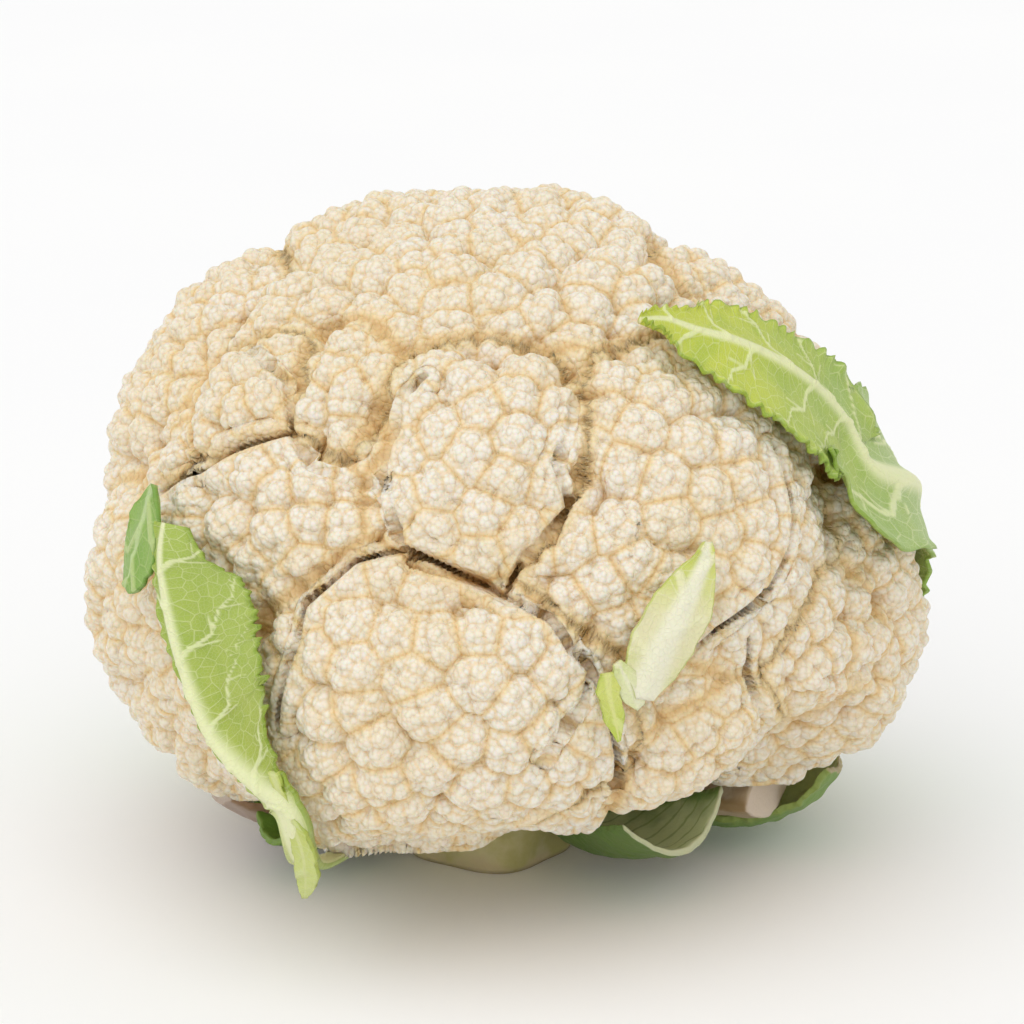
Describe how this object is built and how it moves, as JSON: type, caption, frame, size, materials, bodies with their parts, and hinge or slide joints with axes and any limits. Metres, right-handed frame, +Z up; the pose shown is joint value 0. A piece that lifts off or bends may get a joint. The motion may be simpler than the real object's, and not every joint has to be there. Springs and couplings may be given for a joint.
{
  "type": "cauliflower",
  "caption": "Trimmed head of cauliflower with a crowded white curd, a few green leaves lying against it and a cut stem that it stands on.",
  "frame": {"origin": "on the flat cut face of the stem, in line with the middle of the head", "axes": "+Z up through the crown, +X across the head to the right as the picture shows it, -Y to the front"},
  "size_m": [0.177, 0.1764, 0.1449],
  "materials": {
    "curd": "matte",
    "stem": "satin",
    "leaf": "satin",
    "pale_leaf": "satin",
    "leaf_base": "satin"
  },
  "bodies": {
    "root": {"curd": "curd", "stem": "stem", "leaf_upper_right": "leaf", "leaf_left": "leaf", "leaf_front_small": "pale_leaf", "leaf_base_cup": "leaf_base", "leaf_base_right": "leaf_base", "leaf_base_left": "leaf_base", "leaf_under_left": "leaf", "leaf_back_left": "leaf", "leaf_back_right": "leaf", "leaf_back_base": "leaf_base"}
  },
  "joints": []
}
